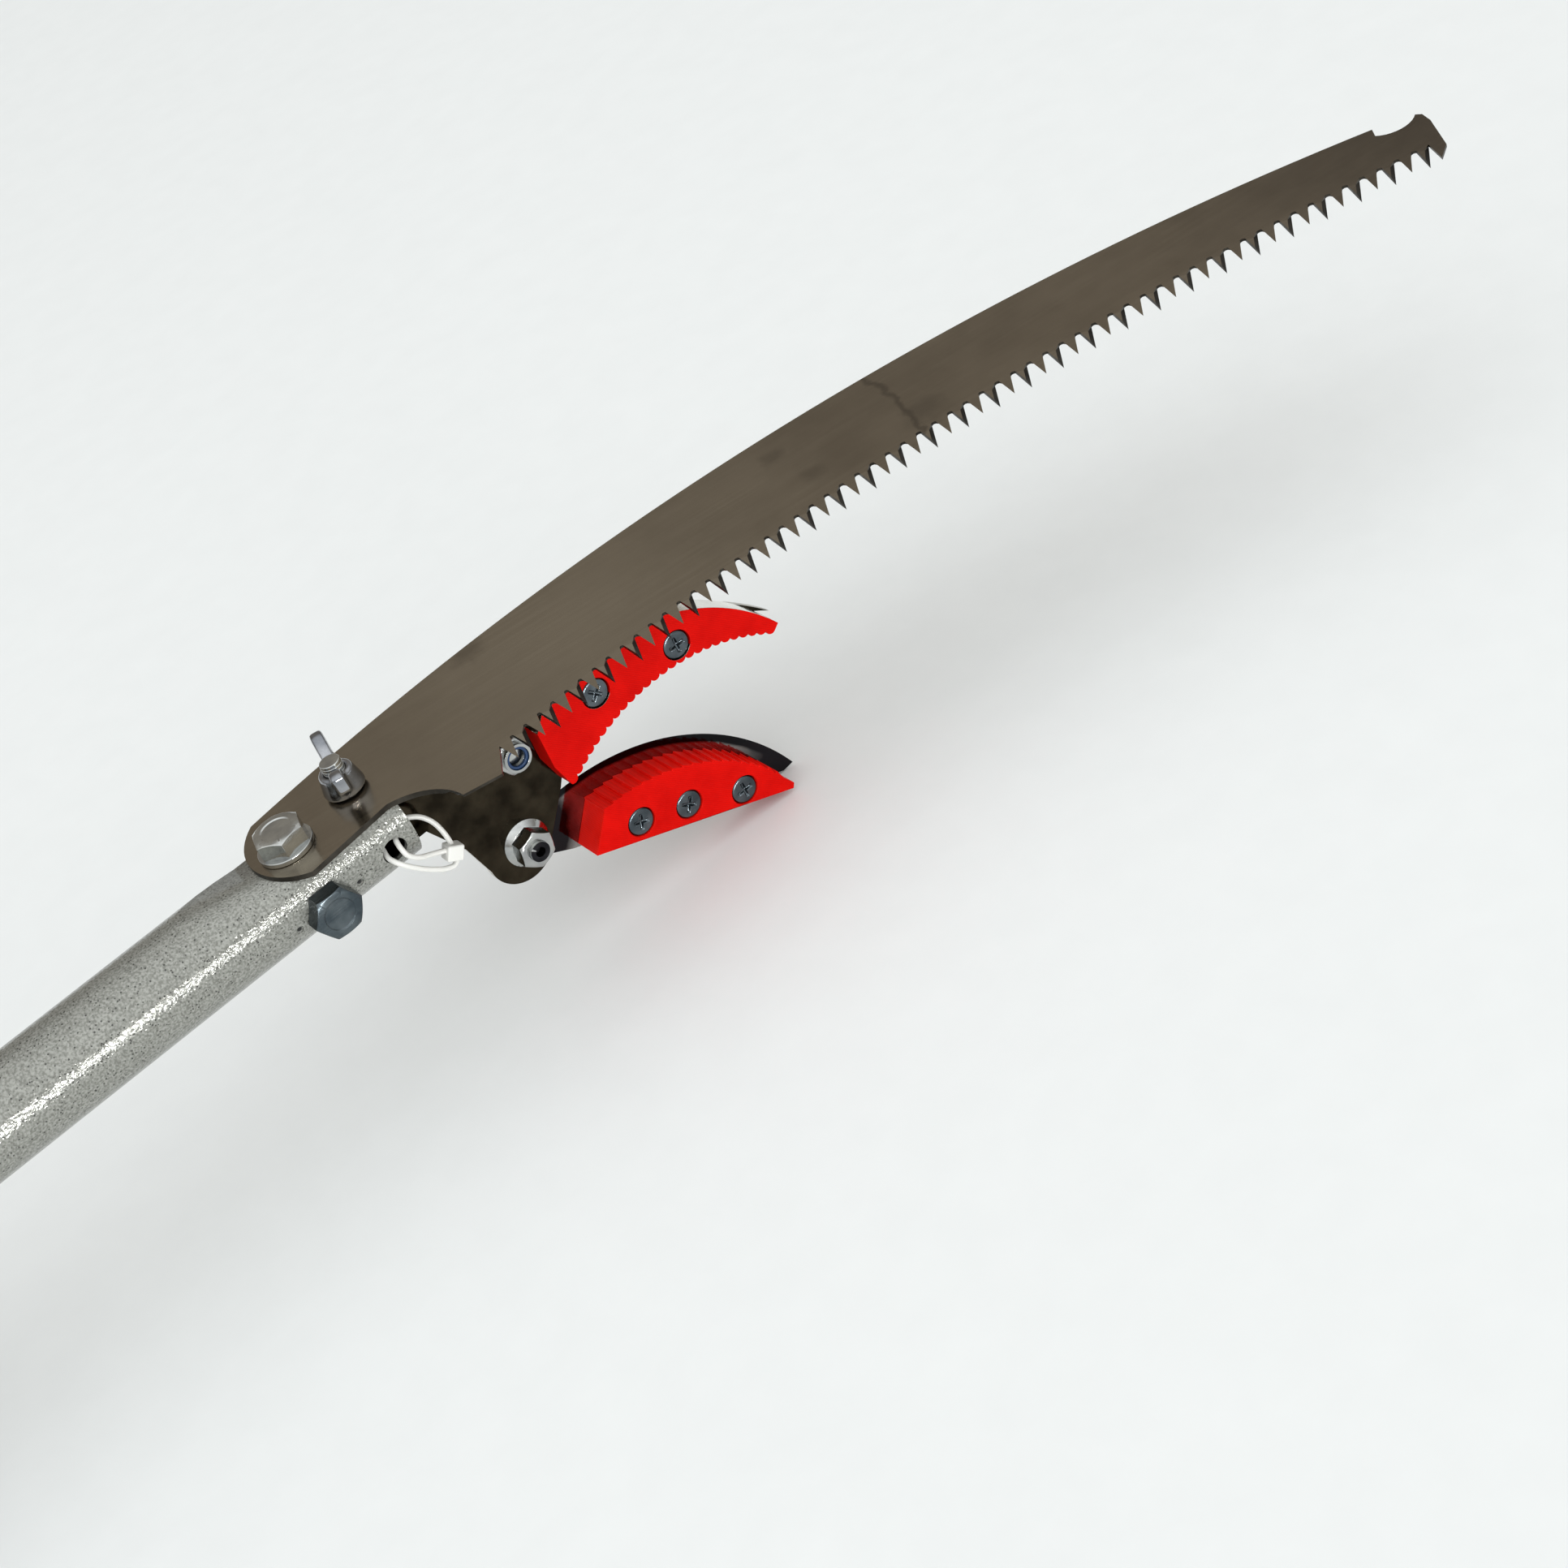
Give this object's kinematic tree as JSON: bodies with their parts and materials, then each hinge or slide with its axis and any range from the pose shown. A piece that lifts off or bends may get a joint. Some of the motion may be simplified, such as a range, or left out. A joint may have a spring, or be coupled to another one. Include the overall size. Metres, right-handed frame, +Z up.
{
  "type": "telescoping pole saw",
  "caption": "Two-section telescoping pole with a curved pruning saw on top and a trigger-worked jaw beneath that holds what is cut.",
  "frame": {"origin": "centre of the flat butt face of the end cap, on the pole's axis", "axes": "+X along the pole to the saw's nose, +Z up with the saw lying flat on top, -Y towards the teeth"},
  "size_m": [1.3496, 0.111, 0.102],
  "materials": {
    "pole_paint": "silver hammertone with fine dark specks, semi-gloss",
    "black_plastic": "moulded black, slightly textured",
    "grip_rubber": "ribbed black rubber",
    "red_plastic": "bright red with fine layer lines, satin",
    "saw_steel": "brown-grey brushed spring steel, half mirror",
    "jaw_steel": "dark polished steel",
    "zinc": "zinc plated, bluish grey",
    "dark_screws": "dark zinc",
    "rod_steel": "drawn steel",
    "blue_nylon": "blue nylon",
    "white_nylon": "natural white nylon"
  },
  "bodies": {
    "pole_lower": {"outer_tube": "pole_paint", "end_cap": "black_plastic", "hand_grip": "grip_rubber", "rear_rod_guide": "black_plastic", "front_bush": "black_plastic", "clamp_collar": "black_plastic", "clamp_screw": "zinc", "housing_left": "black_plastic", "housing_right": "black_plastic", "housing_screws": "dark_screws", "trigger_pin": "zinc", "return_spring": "rod_steel"},
    "pole_upper": {"inner_tube": "pole_paint", "rear_bush": "black_plastic", "inner_rod_guide": "black_plastic", "head_plug": "black_plastic", "saw_blade": "saw_steel", "saw_washer": "zinc", "saw_bolt": "zinc", "saw_stud": "zinc", "side_bolt": "zinc", "fixed_jaw": "jaw_steel", "upper_grip": "red_plastic", "upper_grip_screws": "dark_screws", "pivot_bolt": "zinc", "pivot_washer": "zinc", "pivot_nut": "zinc", "cable_tie": "white_nylon"},
    "jaw_lower": {"lower_blade": "jaw_steel", "lower_grip": "red_plastic", "lower_grip_screws": "dark_screws"},
    "rod_upper": {"pull_rod": "rod_steel", "drive_washer": "zinc", "drive_bolt": "zinc", "drive_nut": "zinc", "drive_nut_insert": "blue_nylon"},
    "rod_lower": {"lower_rod": "rod_steel", "cross_pin": "zinc"},
    "lever": {"trigger": "red_plastic"},
    "wing": {"wing_nut": "zinc"},
    "knob": {"clamp_knob": "black_plastic"}
  },
  "joints": [
    {"name": "telescope", "type": "slide", "parent": "pole_lower", "child": "pole_upper", "axis": [1, 0, 0], "range_m": [0, 0.48]},
    {"name": "trigger_squeeze", "type": "hinge", "parent": "pole_lower", "child": "lever", "pos_m": [0.19, 0, -0.044], "axis": [0, -1, 0], "range_deg": [0, 22.33], "stiffness_Nm_per_rad": 1.2, "springref_deg": -34.38, "deforming": ["return_spring"]},
    {"name": "lower_rod_slide", "type": "slide", "parent": "pole_lower", "child": "rod_lower", "axis": [-1, 0, 0], "range_m": [0, 0.01502]},
    {"name": "pull_rod_slide", "type": "slide", "parent": "pole_upper", "child": "rod_upper", "axis": [-1, 0, 0], "range_m": [0, 0.01502]},
    {"name": "jaw_close", "type": "hinge", "parent": "pole_upper", "child": "jaw_lower", "pos_m": [1.0302, 0.00135, -0.035], "axis": [0, -1, 0], "range_deg": [0, 29.01]},
    {"name": "wing_nut_spin", "type": "hinge", "parent": "pole_upper", "child": "wing", "pos_m": [0.9966, 0.0046, 0.014], "axis": [0, 0, 1], "continuous": true},
    {"name": "clamp_knob_spin", "type": "hinge", "parent": "pole_lower", "child": "knob", "pos_m": [0.7705, -0.0155, -0.0365], "axis": [0, 1, 0], "continuous": true}
  ],
  "couplings": [
    {"joint": "lower_rod_slide", "follows": "trigger_squeeze", "m_per_rad": 0.038488},
    {"joint": "pull_rod_slide", "follows": "trigger_squeeze", "m_per_rad": 0.038488},
    {"joint": "jaw_close", "follows": "trigger_squeeze", "ratio": 1.2987}
  ]
}
